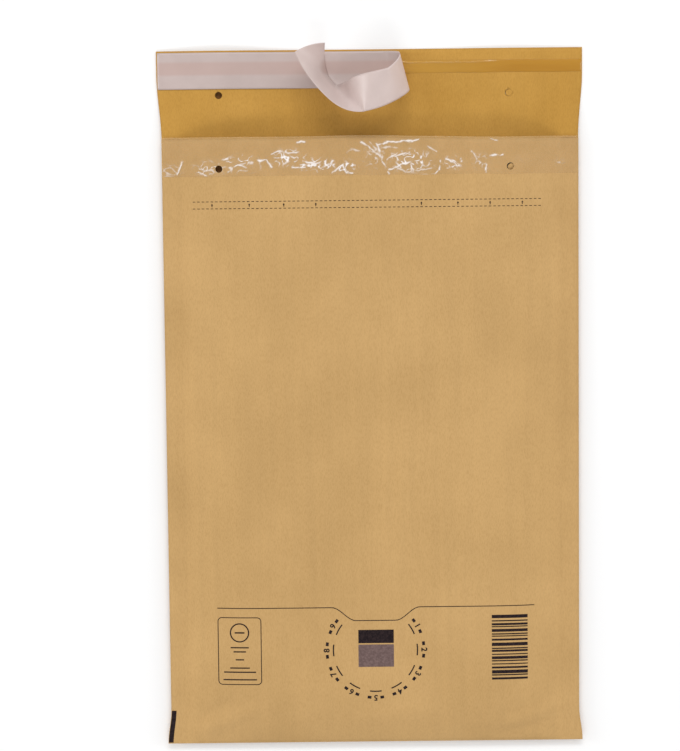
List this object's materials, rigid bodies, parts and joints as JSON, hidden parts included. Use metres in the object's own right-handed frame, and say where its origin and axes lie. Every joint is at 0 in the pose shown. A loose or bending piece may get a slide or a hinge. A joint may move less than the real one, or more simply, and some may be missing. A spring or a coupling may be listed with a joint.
{
  "type": "padded envelope",
  "caption": "Flat kraft paper mailing envelope with bubble-film lining, an open flap and a partly peeled self-seal strip.",
  "frame": {"origin": "centre of the back panel and flap together, on the surface that the envelope lies on", "axes": "+X across the envelope, +Y from the bottom fold to the flap, +Z out of the printed front"},
  "size_m": [0.24, 0.3993, 0.0324],
  "materials": {
    "kraft_paper": "matt brown kraft paper with fine fibres",
    "bubble_film": "clear polyethylene bubble film, glossy and wrinkled",
    "adhesive": "amber pressure-sensitive glue, slightly glossy",
    "release_paper": "smooth white silicone-coated paper, slight sheen"
  },
  "bodies": {
    "root": {"kraft_envelope": "kraft_paper", "bubble_liner": "bubble_film", "adhesive_strip": "adhesive", "release_liner": "release_paper"}
  },
  "joints": []
}
